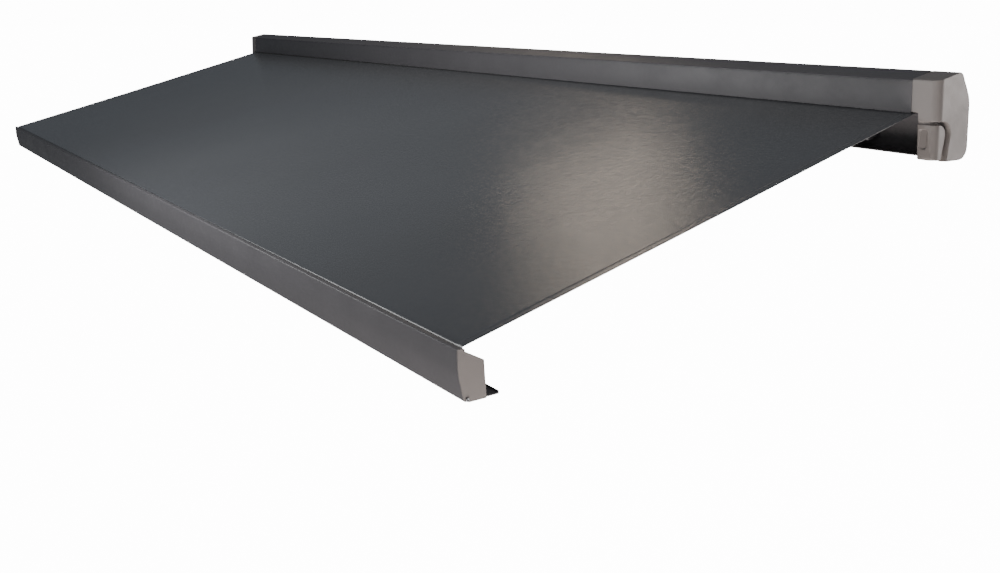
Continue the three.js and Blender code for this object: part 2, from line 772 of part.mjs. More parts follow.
const FORK = { radius: 17, tubeStart: 34 };
const SPRING = { radius: 8.5, length: 300 };
const CABLE = { radius: 1.6, inset: 3, way: 3.6 };
const WRIST = { radius: 13.5, tubeStart: 30, pin: 5, half: 14 };
const SHOULDER = { radius: 19, tubeStart: 40 };

// The upper arm's elbow fork: two prongs above and below the forearm's tongue.
function elbowFork(sign) {
  const tube = UPPER_TUBE;
  const low = LIFT.tongue + EAR.gap;
  const near = sign * (tube.offset - tube.width / 2);
  const far = sign * (tube.offset + tube.width / 2);
  const start = FORK.tubeStart - SLIP;
  const prong = (from, to) => {
    const reach = [
      [0, near],
      [start, near],
      [start, far],
      [FORK.radius * 0.7, far, 8],
      [-FORK.radius * 0.7, sign * FORK.radius * 0.4, 6],
    ];
    return [prism("z", from, to, rounded(reach)), prism("z", from, to, circle(0, 0, FORK.radius, 20))];
  };
  const block = prism("z", -tube.height / 2, tube.height / 2, rounded([
    [start - 10, near],
    [start, near],
    [start, far],
    [start - 10, far],
  ]));
  const plugOutline = rectangle(tube.width / 2 - 2.7, tube.height / 2 - 2.7, sign * tube.offset, 0, 4.5);
  const plug = prism("x", FORK.tubeStart - 2, FORK.tubeStart + 34, plugOutline);
  const cableOutline = circle(sign * (tube.offset - CABLE.inset), 0, CABLE.way, 12);
  const cableWay = prism("x", FORK.tubeStart - 20, FORK.tubeStart + 40, cableOutline);
  const bore = prism("z", -40, 40, clearHole(0, 0, PIN_RADIUS));
  const halves = [...prong(low, tube.height / 2), ...prong(-tube.height / 2, -low)];
  return mirrored(cut(joined(...halves, block, plug), cableWay, bore));
}

// The forearm's elbow tongue, between the fork's prongs.
function elbowTongue(sign) {
  const start = FORK.tubeStart + 6;
  const plugEnd = FORK.tubeStart + 44;
  return knuckle(FORE_TUBE, FORK.radius - 1, start, plugEnd, sign, -LIFT.tongue, LIFT.tongue, PIN_RADIUS);
}

function shoulderKnuckle(sign) {
  const half = LIFT.upper;
  const { radius, tubeStart } = SHOULDER;
  return knuckle(UPPER_TUBE, radius, tubeStart, tubeStart + 44, sign, -half, half, PIN_RADIUS);
}

function wristKnuckle(sign) {
  const { radius, tubeStart, pin, half } = WRIST;
  return mirrored(knuckle(FORE_TUBE, radius, tubeStart, tubeStart + 40, sign, -half, half, pin));
}


// A closely wound tension spring: a ribbed sleeve with a plain hook cap at each end.
function armSpring(sign) {
  const start = SHOULDER.tubeStart + 60;
  const turns = 12;
  const pitch = SPRING.length / turns;
  const points = [new THREE.Vector2(0, 0)];
  for (let k = 0; k < turns; k += 1) {
    points.push(new THREE.Vector2(SPRING.radius - 1.5, k * pitch));
    points.push(new THREE.Vector2(SPRING.radius, (k + 0.5) * pitch));
  }
  points.push(new THREE.Vector2(SPRING.radius - 1.5, SPRING.length), new THREE.Vector2(0, SPRING.length));
  const wound = new THREE.LatheGeometry(points, 10);
  wound.rotateZ(-Math.PI / 2);
  return wound.translate(start, sign * UPPER_TUBE.offset, 0);
}

function armCable(sign) {
  const from = SHOULDER.tubeStart + 60 + SPRING.length + SLIP;
  const to = LINK - FORK.tubeStart + 12;
  return prism("x", from, to, circle(sign * (UPPER_TUBE.offset - CABLE.inset), 0, CABLE.radius, 10));
}

// A bracket with two ears round an arm's end, joined by a web on its outer side.
function earBracket(sign, { radius, halfHeight, front, back, web, pin }) {
  const ear = (from, to) => {
    const plate = prism("z", from, to, rounded([
      [0, -sign * radius],
      [web, sign * front],
      [web, sign * back],
      [0, sign * radius],
    ], false, 3));
    return joined(plate, prism("z", from, to, circle(0, 0, radius, 20)));
  };
  const low = halfHeight + EAR.gap;
  const high = low + EAR.thickness;
  const wall = solid(prism("z", -high, high, rounded([
    [web - 8, sign * front],
    [web, sign * front, 2],
    [web, sign * back, 2],
    [web - 8, sign * back],
  ])));
  const whole = ear(low, high).add(ear(-high, -low)).add(wall);
  return cut(whole, prism("z", -high - 1, high + 1, clearHole(0, 0, pin)));
}

const awning = new THREE.Group();

const casing = new THREE.Group();
awning.add(casing);
BRACKET_X.forEach((x, i) => {
  const label = ["left", "middle", "right"][i];
  add(casing, `wall_bracket_${label}`, wallBracket(x), zinc);
  add(casing, `clamp_screw_${label}`, clampScrew(x), steel);
});
add(casing, "rear_profile", rearProfile(), coated);
add(casing, "top_profile", topProfile(), coated);
add(casing, "hood_top", hoodTop(), coated);
add(casing, "hood_front", hoodFront(), coated);
add(casing, "seal_rail", sealRail(), coated);
add(casing, "lip_seal", lipSeal(), plastic);
sides.forEach(({ label, sign }) => add(casing, `end_cap_${label}`, endCap(sign), coatedCap));
const idlerBore = clearHole(ROLLER_Y, ROLLER_Z, IDLER.radius);
add(casing, "bearing_plate_left", bearingPlate(-1, idlerBore), zinc);
add(casing, "bearing_plate_right", bearingPlate(1, onRoller(SPIGOT.bore, 4)), zinc);
add(casing, "idler_pin", idlerPin(), steel);
add(casing, "motor_body", motorBody(), motorGrey);
add(casing, "motor_head", motorHead(), plastic);
add(casing, "cable_gland", cableGland(), plastic);
add(casing, "cloth", awningCloth(), cloth);

const roller = new THREE.Group();
awning.add(roller);
add(roller, "roller_tube", rollerTube(), zinc);
add(roller, "motor_shaft", motorShaft(), steel);
add(roller, "drive_wheel", spider(DRIVE_X, DRIVE_X + SPIDER.wide, onRoller(DRIVE.bore, 6)), plastic);
const crownBore = clearHole(ROLLER_Y, ROLLER_Z, MOTOR.neck, 24);
add(roller, "limit_crown", spider(ROLLER_FACE - 26, ROLLER_FACE, crownBore), plastic);
add(roller, "idler_plug", spider(-ROLLER_FACE, -ROLLER_FACE + IDLER.length, idlerBore), plastic);
const kederOutline = circle(...grooveAt(KEDER_GROOVE.out), KEDER_GROOVE.rod, 10);
add(roller, "roller_keder", prism("x", -TUBE_END + 5, TUBE_END - 5, kederOutline), plastic);

const bar = new THREE.Group();
awning.add(bar);
add(bar, "front_profile", frontProfile(), coated);
add(bar, "bar_keder", barKeder(), plastic);
sides.forEach(({ label, sign }) => {
  add(bar, `bar_cap_${label}`, barCap(sign), coatedCap);
  add(bar, `cap_screw_${label}`, capScrew(sign), steel);
});

// Everything in the arms' plane hangs from this tilted group.
const slope = new THREE.Group();
slope.position.set(0, SHOULDER_Y, SHOULDER_Z);
slope.rotation.x = SLOPE;
awning.add(slope);

sides.forEach(({ label, sign }) => {
  const place = (x, y, angle) => {
    const group = new THREE.Group();
    group.position.set(x, y, 0);
    group.rotation.z = angle;
    slope.add(group);
    return group;
  };
  const inward = sign < 0 ? 0 : Math.PI;
  const bend = -sign;
  const elbowX = sign * (SHOULDER_X - LINK * Math.cos(OPEN_ANGLE));
  const elbowY = -LINK * Math.sin(OPEN_ANGLE);

  const shoulder = place(sign * SHOULDER_X, 0, inward + Math.PI);
  add(shoulder, `shoulder_bracket_${label}`, earBracket(sign, {
    radius: 21,
    halfHeight: LIFT.upper,
    front: -20,
    back: 25,
    web: 52,
    pin: PIN_RADIUS,
  }), castGrey);
  add(shoulder, `shoulder_pin_${label}`, hingePin(LIFT.upper + EAR.gap + EAR.thickness), steel);

  const upper = place(sign * SHOULDER_X, 0, inward - bend * OPEN_ANGLE);
  add(upper, `shoulder_knuckle_${label}`, shoulderKnuckle(bend), castGrey);
  const upperTube = armTube(UPPER_TUBE, SHOULDER.tubeStart, LINK - FORK.tubeStart, bend);
  add(upper, `upper_tube_${label}`, upperTube, coated);
  add(upper, `arm_spring_${label}`, armSpring(bend), steel);
  add(upper, `arm_cable_${label}`, armCable(bend), steel);
  const fork = new THREE.Group();
  fork.position.x = LINK;
  upper.add(fork);
  add(fork, `elbow_fork_${label}`, elbowFork(bend), castGrey);
  add(fork, `elbow_pin_${label}`, hingePin(LIFT.upper), steel);

  const fore = place(elbowX, elbowY, inward + Math.PI + bend * OPEN_ANGLE);
  add(fore, `elbow_tongue_${label}`, elbowTongue(bend), castGrey);
  const foreTube = armTube(FORE_TUBE, FORK.tubeStart + 6, LINK - WRIST.tubeStart, bend);
  add(fore, `fore_tube_${label}`, foreTube, coated);
  const end = new THREE.Group();
  end.position.x = LINK;
  fore.add(end);
  add(end, `wrist_knuckle_${label}`, wristKnuckle(bend), castGrey);

  const wrist = place(sign * SHOULDER_X, -REACH, inward + Math.PI);
  add(wrist, `wrist_bracket_${label}`, earBracket(sign, {
    radius: 14,
    halfHeight: WRIST.half,
    front: -31,
    back: 12,
    web: 44,
    pin: WRIST.pin,
  }), castGrey);
  add(wrist, `wrist_pin_${label}`, hingePin(WRIST.half + EAR.gap + EAR.thickness, WRIST.pin), steel);
});

export default awning;
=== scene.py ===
"""A closed-casing folding-arm awning: the finish of its profiles, castings, cloth and fittings."""
import json
import math

import bmesh
import bpy
from bpy.props import FloatProperty, FloatVectorProperty, PointerProperty
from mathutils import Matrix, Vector, noise


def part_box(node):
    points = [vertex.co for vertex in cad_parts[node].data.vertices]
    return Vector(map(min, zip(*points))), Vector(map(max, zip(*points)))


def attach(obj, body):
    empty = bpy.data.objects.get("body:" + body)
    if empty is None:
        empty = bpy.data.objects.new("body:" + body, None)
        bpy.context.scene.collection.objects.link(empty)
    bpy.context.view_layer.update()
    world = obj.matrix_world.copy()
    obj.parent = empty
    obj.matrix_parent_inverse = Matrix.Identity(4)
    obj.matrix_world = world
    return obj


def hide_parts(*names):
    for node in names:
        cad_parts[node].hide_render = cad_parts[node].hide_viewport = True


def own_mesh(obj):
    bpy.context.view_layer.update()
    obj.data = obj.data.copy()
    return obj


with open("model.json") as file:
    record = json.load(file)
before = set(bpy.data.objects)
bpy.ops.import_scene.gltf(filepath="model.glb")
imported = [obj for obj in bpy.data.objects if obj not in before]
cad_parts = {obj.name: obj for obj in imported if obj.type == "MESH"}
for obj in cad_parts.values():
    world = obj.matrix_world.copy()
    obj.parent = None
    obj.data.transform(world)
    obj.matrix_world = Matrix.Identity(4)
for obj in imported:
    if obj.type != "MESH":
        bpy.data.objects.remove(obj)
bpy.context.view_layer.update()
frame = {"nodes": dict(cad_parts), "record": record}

bl_info = {
    "name": "Cassette awning",
    "version": (1, 0, 0),
    "blender": (4, 5, 0),
    "location": "View3D > Sidebar > Awning",
    "description": "Builds the finished pieces of a closed-casing folding-arm awning around its frame",
    "category": "Object",
}

MM = 0.001
SIDES = ("left", "right")
SLOPE = math.radians(15.3)
DOWN_SLOPE = Vector((0.0, -math.cos(SLOPE), -math.sin(SLOPE)))
CLOTH_UP = Vector((0.0, -math.sin(SLOPE), math.cos(SLOPE)))
FULL_TURN = 6.2832


# ---------------------------------------------------------------- sizes and colours

def length(name, text, default):
    """A length in metres that a user may change."""
    return FloatProperty(name=name, description=text, default=default, unit="LENGTH", precision=5)


def colour(name, text, default):
    """A linear colour that a user may change."""
    return FloatVectorProperty(
        name=name, description=text, default=default, subtype="COLOR", size=3, min=0, max=1
    )


class AwningSizes(bpy.types.PropertyGroup):
    """Sizes of the finish that the frame doesn't hold."""

    profile_edge: length("Profile edge", "Rounding along the extruded profiles' edges", 0.5 * MM)
    cap_grain: length("Cap mesh", "Voxel size of the end caps' cast surface", 1.5 * MM)
    casting_grain: length("Casting mesh", "Voxel size of the arm castings' surface", 1.8 * MM)
    cloth_sag: length("Cloth sag", "Depth of the cloth's sag at mid stretch", 5.0 * MM)
    cloth_ripple: length("Cloth ripple", "Height of the shallow ripples in the cloth", 0.9 * MM)
    hem_width: length("Hem width", "Width of the doubled side hems", 22 * MM)
    hem_rise: length("Hem rise", "How far a hem stands over the cloth", 0.5 * MM)
    stitch_pitch: length("Stitch pitch", "Distance from stitch to stitch", 5.5 * MM)
    stitch_length: length("Stitch length", "Length of one stitch", 3.6 * MM)
    thread: length("Thread", "Radius of the sewing thread", 0.35 * MM)


class AwningColours(bpy.types.PropertyGroup):
    """Base colours of the finishes."""

    coat: colour("Profile coat", "Powder coat of the profiles", (0.085, 0.081, 0.086))
    # Partly painted light: the cap colour is about twice as light and a little warmer than the profile
    # coat, a painted lightness that stands in for the lamp light on the end caps' faces.
    cap_with_painted_light: colour("Cap coat with painted light", "Powder coat of the castings at the ends", (0.175, 0.158, 0.150))
    arm: colour("Arm coat", "Powder coat of the arm tubes", (0.085, 0.086, 0.090))
    casting: colour("Arm casting", "Coated castings of the arms", (0.085, 0.087, 0.092))
    cloth: colour("Cloth", "Woven cloth", (0.050, 0.052, 0.056))
    thread: colour("Thread", "Sewing thread", (0.075, 0.075, 0.078))
    zinc: colour("Zinc", "Zinc plated steel", (0.55, 0.56, 0.58))
    steel: colour("Steel", "Bright steel", (0.50, 0.50, 0.51))
    plastic: colour("Plastic", "Moulded fittings", (0.018, 0.018, 0.020))
    motor: colour("Motor", "Motor tube", (0.35, 0.36, 0.38))


def sizes():
    return bpy.context.scene.awning_sizes


def colours():
    return bpy.context.scene.awning_colours


# ---------------------------------------------------------------- node helpers

def wire(tree, source, target):
    tree.links.new(source, target)


def new_group(name, inputs, outputs):
    """A shader node group with float, colour or vector sockets; returns (tree, input node, output node)."""
    tree = bpy.data.node_groups.new(name, "ShaderNodeTree")
    for label, kind, default in inputs:
        socket = tree.interface.new_socket(name=label, in_out="INPUT", socket_type=f"NodeSocket{kind}")
        if default is not None:
            socket.default_value = default
    for label, kind in outputs:
        tree.interface.new_socket(name=label, in_out="OUTPUT", socket_type=f"NodeSocket{kind}")
    return tree, tree.nodes.new("NodeGroupInput"), tree.nodes.new("NodeGroupOutput")


def math_node(tree, operation, a, b=None, c=None, clamp=False):
    """The output of a math node whose inputs are numbers or sockets."""
    node = tree.nodes.new("ShaderNodeMath")
    node.operation = operation
    node.use_clamp = clamp
    for socket, value in zip(node.inputs, (a, b, c)):
        if value is None:
            continue
        if isinstance(value, (int, float)):
            socket.default_value = value
        else:
            wire(tree, value, socket)
    return node.outputs[0]


def noise_node(tree, vector, scale, detail=2.0, roughness=0.5):
    node = tree.nodes.new("ShaderNodeTexNoise")
    node.inputs["Detail"].default_value = detail
    node.inputs["Roughness"].default_value = roughness
    wire(tree, vector, node.inputs["Vector"])
    if isinstance(scale, (int, float)):
        node.inputs["Scale"].default_value = scale
    else:
        wire(tree, scale, node.inputs["Scale"])
    return node.outputs["Fac"]


def six_to_four(tree, major, minor):
    """Six tenths of one socket and four tenths of another."""
    share = math_node(tree, "MULTIPLY", major, 0.6)
    return math_node(tree, "ADD", share, math_node(tree, "MULTIPLY", minor, 0.4))


def grain_group():
    """Powder coat: a fine pebbled skin, a slow mottle and a faint film of dust."""
    found = bpy.data.node_groups.get("coat_grain")
    if found:
        return found
    tree, start, end = new_group(
        "coat_grain",
        [
            ("Vector", "Vector", None),
            ("Grain", "Float", 900.0),
            ("Mottle", "Float", 7.0),
            ("Dust", "Float", 0.3),
        ],
        [("Height", "Float"), ("Mottle", "Float"), ("Dust", "Float")],
    )
    vector = start.outputs["Vector"]
    fine = noise_node(tree, vector, start.outputs["Grain"], 3.0, 0.6)
    coarse = noise_node(tree, vector, math_node(tree, "MULTIPLY", start.outputs["Grain"], 0.22), 2.0)
    height = six_to_four(tree, fine, coarse)
    slow = noise_node(tree, vector, start.outputs["Mottle"], 4.0, 0.62)
    specks = noise_node(tree, vector, 62.0, 5.0, 0.7)
    film = math_node(tree, "MULTIPLY", slow, specks)
    dust = math_node(tree, "MULTIPLY", film, start.outputs["Dust"], clamp=True)
    wire(tree, height, end.inputs["Height"])
    wire(tree, slow, end.inputs["Mottle"])
    wire(tree, dust, end.inputs["Dust"])
    return tree


def weave_group():
    """Cloth: crossing threads in the sheet's own metres, over a crinkle and a slow shade."""
    found = bpy.data.node_groups.get("cloth_weave")
    if found:
        return found
    tree, start, end = new_group(
        "cloth_weave",
        [("UV", "Vector", None), ("Threads", "Float", 900.0), ("Crinkle", "Float", 48.0)],
        [("Height", "Float"), ("Crinkle", "Float"), ("Shade", "Float")],
    )
    split = tree.nodes.new("ShaderNodeSeparateXYZ")
    wire(tree, start.outputs["UV"], split.inputs[0])
    waves = []
    for axis in ("X", "Y"):
        turns = math_node(tree, "MULTIPLY", split.outputs[axis], start.outputs["Threads"])
        waves.append(math_node(tree, "SINE", math_node(tree, "MULTIPLY", turns, FULL_TURN)))
    threads = math_node(tree, "MULTIPLY_ADD", math_node(tree, "MULTIPLY", *waves), 0.5, 0.5)
    broad = noise_node(tree, start.outputs["UV"], start.outputs["Crinkle"], 3.0, 0.55)
    cells = tree.nodes.new("ShaderNodeTexVoronoi")
    cells.feature = "SMOOTH_F1"
    cells.inputs["Smoothness"].default_value = 0.7
    wire(tree, start.outputs["UV"], cells.inputs["Vector"])
    wire(tree, math_node(tree, "MULTIPLY", start.outputs["Crinkle"], 1.35), cells.inputs["Scale"])
    crinkle = six_to_four(tree, broad, cells.outputs["Distance"])
    shade = noise_node(tree, start.outputs["UV"], 1.6, 3.0, 0.5)
    wire(tree, threads, end.inputs["Height"])
    wire(tree, crinkle, end.inputs["Crinkle"])
    wire(tree, shade, end.inputs["Shade"])
    return tree


def new_material(name):
    material = bpy.data.materials.new(name)
    material.use_nodes = True
    tree = material.node_tree
    return material, tree, tree.nodes["Principled BSDF"]


def place_group(tree, group, vector, **values):
    node = tree.nodes.new("ShaderNodeGroup")
    node.node_tree = group
    wire(tree, vector, node.inputs[0])
    for label, value in values.items():
        node.inputs[label].default_value = value
    return node


def mixed(tree, factor, dark, light):
    """A colour between two colours, by a factor socket."""
    node = tree.nodes.new("ShaderNodeMix")
    node.data_type = "RGBA"
    wire(tree, factor, node.inputs["Factor"])
    node.inputs["A"].default_value = (*dark, 1.0)
    node.inputs["B"].default_value = (*light, 1.0)
    return node.outputs["Result"]


def spread(tree, value, low, high):
    """A value from 0 to 1 brought between low and high."""
    node = tree.nodes.new("ShaderNodeMapRange")
    wire(tree, value, node.inputs["Value"])
    node.inputs["From Min"].default_value = 0.25
    node.inputs["From Max"].default_value = 0.75
    node.inputs["To Min"].default_value = low
    node.inputs["To Max"].default_value = high
    return node.outputs["Result"]


def bumped(tree, shader, height, strength, distance, after=None):
    node = tree.nodes.new("ShaderNodeBump")
    node.inputs["Strength"].default_value = strength
    node.inputs["Distance"].default_value = distance
    wire(tree, height, node.inputs["Height"])
    if after is not None:
        wire(tree, after, node.inputs["Normal"])
    wire(tree, node.outputs["Normal"], shader.inputs["Normal"])
    return node.outputs["Normal"]


def scaled(rgb, factor):
    return tuple(min(1.0, c * factor) for c in rgb)


def tinted(tree, shader, factor, rgb, dark, light):
    """Lets the base colour run from a darker to a lighter shade of rgb, by a factor socket."""
    wire(tree, mixed(tree, factor, scaled(rgb, dark), scaled(rgb, light)), shader.inputs["Base Color"])


def coated(name, rgb, roughness, specular, grain=900.0, metallic=0.0, bump=0.25):
    """Powder coat on metal."""
    material, tree, shader = new_material(name)
    place = tree.nodes.new("ShaderNodeTexCoord").outputs["Object"]
    coat = place_group(tree, grain_group(), place, Grain=grain, Mottle=7.0, Dust=0.5)
    tinted(tree, shader, coat.outputs["Mottle"], rgb, 0.86, 1.14)
    mottle = spread(tree, coat.outputs["Mottle"], roughness - 0.03, roughness + 0.03)
    wire(tree, math_node(tree, "ADD", mottle, coat.outputs["Dust"], clamp=True), shader.inputs["Roughness"])
    shader.inputs["Metallic"].default_value = metallic
    shader.inputs["Specular IOR Level"].default_value = specular
    bumped(tree, shader, coat.outputs["Height"], bump, 0.1 * MM)
    return material


def metal(name, rgb, roughness, streak=(1.0, 1.0, 1.0), grain=420.0):
    """Bare or plated metal with drawing marks along the axis where streak is small."""
    material, tree, shader = new_material(name)
    place = tree.nodes.new("ShaderNodeTexCoord").outputs["Object"]
    stretch = tree.nodes.new("ShaderNodeMapping")
    stretch.inputs["Scale"].default_value = streak
    wire(tree, place, stretch.inputs["Vector"])
    coat = place_group(tree, grain_group(), stretch.outputs["Vector"], Grain=grain, Mottle=22.0, Dust=0.2)
    tinted(tree, shader, coat.outputs["Mottle"], rgb, 0.78, 1.15)
    dulled = spread(tree, coat.outputs["Height"], roughness - 0.06, roughness + 0.1)
    wire(tree, dulled, shader.inputs["Roughness"])
    shader.inputs["Metallic"].default_value = 1.0
    bumped(tree, shader, coat.outputs["Height"], 0.15, 0.1 * MM)
    return material


def cloth_material(name, rgb):
    """Coated woven cloth, slightly crinkled, with a soft shine."""
    material, tree, shader = new_material(name)
    uv = tree.nodes.new("ShaderNodeUVMap")
    uv.uv_map = "sheet"
    weave = place_group(tree, weave_group(), uv.outputs["UV"], Threads=900.0, Crinkle=48.0)
    tinted(tree, shader, weave.outputs["Shade"], rgb, 0.82, 1.2)
    wire(tree, spread(tree, weave.outputs["Crinkle"], 0.19, 0.26), shader.inputs["Roughness"])
    shader.inputs["Specular IOR Level"].default_value = 0.45
    shader.inputs["Sheen Weight"].default_value = 0.08
    shader.inputs["Sheen Roughness"].default_value = 0.5
    crinkled = bumped(tree, shader, weave.outputs["Crinkle"], 0.32, 1.4 * MM)
    bumped(tree, shader, weave.outputs["Height"], 0.3, 0.12 * MM, crinkled)
    return material


FINISHES = {}


def finishes():
    """Every finish, made once and kept by the record's slot name."""
    if FINISHES:
        return FINISHES
    c = colours()
    FINISHES.update(
        coated_profile=coated("profile coat", c.coat, 0.42, 0.5),
        # The cap coat's lighter base colour is painted light on the end caps and the bar's end plates.
        coated_cap=coated("cap coat", c.cap_with_painted_light, 0.34, 0.5, grain=700.0),
        coated_arm=coated("arm coat", c.arm, 0.45, 0.45),
        arm_casting=coated("casting coat", c.casting, 0.52, 0.45, grain=500.0, metallic=0.4, bump=0.4),
        bracket_zinc=metal("bracket zinc", c.zinc, 0.36),
        roller_steel=metal("roller zinc", c.zinc, 0.30, streak=(0.06, 1.0, 1.0)),
        fastener_steel=metal("fastener steel", c.steel, 0.28),
        pin_steel=metal("pin steel", c.steel, 0.24),
        motor_grey=metal("motor tube", c.motor, 0.38, streak=(0.08, 1.0, 1.0)),
        black_plastic=coated("moulded black", c.plastic, 0.55, 0.4, grain=1300.0),
        seal_rubber=coated("seal rubber", scaled(c.plastic, 0.7), 0.8, 0.3, grain=1500.0),
        thread=coated("sewing thread", c.thread, 0.7, 0.3, grain=2600.0),
        awning_cloth=cloth_material("woven cloth", c.cloth),
    )
    return FINISHES


# ---------------------------------------------------------------- mesh helpers

def body_of(node):
    return next(body for body, members in frame["record"]["behaviour"]["bodies"].items() if node in members)


def slot_of(node):
    return next(part["material_slot"] for part in frame["record"]["subparts"] if part["node"] == node)


def new_object(name, mesh):
    piece = bpy.data.objects.new(name, mesh)
    bpy.context.scene.collection.objects.link(piece)
    return piece


def merged_copy(node, name):
    """A CAD node's shape as one joined mesh with its flat faces whole again."""
    shape = bmesh.new()
    shape.from_mesh(frame["nodes"][node].data)
    bmesh.ops.remove_doubles(shape, verts=shape.verts, dist=2e-6)
    bmesh.ops.dissolve_limit(shape, angle_limit=math.radians(0.6), verts=shape.verts, edges=shape.edges)
    bare = bmesh.new()
    copies = {vertex: bare.verts.new(vertex.co) for vertex in shape.verts}
    for face in shape.faces:
        bare.faces.new([copies[vertex] for vertex in face.verts])
    mesh = bpy.data.meshes.new(name)
    bare.to_mesh(mesh)
    shape.free()
    bare.free()
    return new_object(name, mesh)


def apply_modifiers(piece):
    """Turns the piece and its modifiers into a plain mesh."""
    bpy.context.view_layer.update()
    evaluated = piece.evaluated_get(bpy.context.evaluated_depsgraph_get())
    mesh = bpy.data.meshes.new_from_object(evaluated)
    piece.modifiers.clear()
    piece.data = mesh


def smooth(piece, angle=32.0):
    piece.data.shade_smooth()
    piece.data.set_sharp_from_angle(angle=math.radians(angle))


def dress(piece, slot):
    """Gives a piece one finish."""
    piece.data.materials.clear()
    piece.data.materials.append(finishes()[slot])


def finish_piece(piece, node):
    """Dresses a piece that stands for one CAD node and lets it ride on that node's body."""
    slot = slot_of(node)
    dress(piece, slot)
    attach(piece, body_of(node))
    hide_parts(node)


def bevelled(node, width, segments=2, angle=32.0):
    """A profile, plate or turned part with its sharp edges eased."""
    piece = merged_copy(node, f"{node}_finished")
    edge = piece.modifiers.new("edge", "BEVEL")
    edge.width = width
    edge.segments = segments
    edge.limit_method = "ANGLE"
    edge.angle_limit = math.radians(angle)
    edge.use_clamp_overlap = True
    apply_modifiers(piece)
    smooth(piece)
    finish_piece(piece, node)


def cast(node, grain, rounds=4):
    """A casting: its edges and corners run into each other softly."""
    piece = merged_copy(node, f"{node}_cast")
    voxels = piece.modifiers.new("voxels", "REMESH")
    voxels.mode = "VOXEL"
    voxels.voxel_size = grain
    melt = piece.modifiers.new("melt", "SMOOTH")
    melt.factor = 0.5
    melt.iterations = rounds
    apply_modifiers(piece)
    smooth(piece, 60.0)
    finish_piece(piece, node)


# ---------------------------------------------------------------- operators

PROFILES = ("rear_profile", "top_profile", "hood_top", "hood_front", "seal_rail", "front_profile")
ARM_CASTINGS = (
    "shoulder_bracket",
    "shoulder_knuckle",
    "elbow_fork",
    "elbow_tongue",
    "wrist_knuckle",
    "wrist_bracket",
)


class AWNING_OT_profiles(bpy.types.Operator):
    """Extruded profiles of the casing and the front bar, with eased edges"""

    bl_idname = "awning.profiles"
    bl_label = "Profiles"

    def execute(self, context):
        for node in PROFILES:
            bevelled(node, sizes().profile_edge, angle=40.0)
        bevelled("lip_seal", 0.3 * MM)
        return {"FINISHED"}


class AWNING_OT_end_caps(bpy.types.Operator):
    """Cast end caps of the casing and end plates of the front bar"""

    bl_idname = "awning.end_caps"
    bl_label = "End caps"

    def execute(self, context):
        for side in SIDES:
            cast(f"end_cap_{side}", sizes().cap_grain)
            bevelled(f"bar_cap_{side}", 0.7 * MM, segments=3)
            bevelled(f"cap_screw_{side}", 0.3 * MM)
        return {"FINISHED"}


class AWNING_OT_arms(bpy.types.Operator):
    """Folding arms: coated tubes, cast joints and bright pins"""

    bl_idname = "awning.arms"
    bl_label = "Arms"

    def execute(self, context):
        for side in SIDES:
            for part in ("upper_tube", "fore_tube"):
                bevelled(f"{part}_{side}", 0.3 * MM)
            for part in ARM_CASTINGS:
                cast(f"{part}_{side}", sizes().casting_grain, rounds=3)
            for part in ("shoulder_pin", "elbow_pin", "wrist_pin"):
                bevelled(f"{part}_{side}", 0.5 * MM)
            for part in ("arm_spring", "arm_cable"):
                bevelled(f"{part}_{side}", 0.1 * MM, angle=50.0)
        return {"FINISHED"}


class AWNING_OT_roller(bpy.types.Operator):
    """Roller tube, motor and their fittings inside the casing"""

    bl_idname = "awning.roller"
    bl_label = "Roller and motor"

    def execute(self, context):
        for node in ("roller_tube", "motor_body", "motor_shaft", "idler_pin", "roller_keder", "bar_keder"):
            bevelled(node, 0.3 * MM)
        for node in ("drive_wheel", "limit_crown", "idler_plug", "motor_head", "cable_gland"):
            bevelled(node, 0.5 * MM)
        return {"FINISHED"}


class AWNING_OT_brackets(bpy.types.Operator):
    """Wall brackets, bearing plates and clamp screws"""

    bl_idname = "awning.brackets"
    bl_label = "Brackets"

    def execute(self, context):
        for place in ("left", "middle", "right"):
            bevelled(f"wall_bracket_{place}", 0.6 * MM)
            bevelled(f"clamp_screw_{place}", 0.5 * MM)
        for side in SIDES:
            bevelled(f"bearing_plate_{side}", 0.5 * MM)
        return {"FINISHED"}


# The cloth's mesh, and how it bends into the front bar's groove.
SHEET_COLUMNS = 240
SHEET_ROWS = 84
SHEET_THICKNESS = 0.6 * MM
HEM_MARGIN = 3 * MM
SEAM_INSET = 4 * MM
GROOVE_INSET = 16.9 * MM
GROOVE_CLOTH = 10 * MM
BEND_ROWS = 5
BEND_REACH = 3.5 * MM
BEND_DROP = 5.6 * MM
BEND_ANGLE = 1.25
# The turns that stay on the roller.
TURN_STEPS = 96
TURN_COLUMNS = 40
TURN_RISE = 0.7 * MM
TURN_THICKNESS = 0.3 * MM
TURN_END_GAP = 2 * MM


def roller_size():
    """The roller tube's centre and its radius."""
    low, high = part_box("roller_tube")
    return (low + high) / 2, (high.y - low.y) / 2


def cloth_ends():
    """Where the flat stretch of cloth leaves the roller, how long it is, and its half width."""
    centre, radius = roller_size()
    leave = Vector((0.0, centre.y, centre.z)) - CLOTH_UP * (radius + 0.4 * MM)
    groove_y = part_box("front_profile")[0].y + GROOVE_INSET
    reach = (leave.y - groove_y) / math.cos(SLOPE)
    return leave, reach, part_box("cloth")[1].x


def sheet_height(x, share, half_width):
    """How far the taut cloth stands off its plane, by its sag and its shallow ripples."""
    s = sizes()
    ends = math.sin(math.pi * share)
    free = min(1.0, (half_width - abs(x)) / 0.25)
    sag = -s.cloth_sag * ends * (0.35 + 0.65 * free)
    broad = noise.noise(Vector((x * 2.1, share * 1.3, 4.2)))
    short = noise.noise(Vector((x * 6.0, share * 2.2, 9.1)))
    return sag + s.cloth_ripple * (broad + 0.5 * short) * ends


def hem_share(x, half_width):
    """1 on the doubled hem, 0 inside it, with a short step between."""
    inside = half_width - abs(x) - sizes().hem_width
    return max(0.0, min(1.0, 0.5 - inside / (2.0 * MM)))


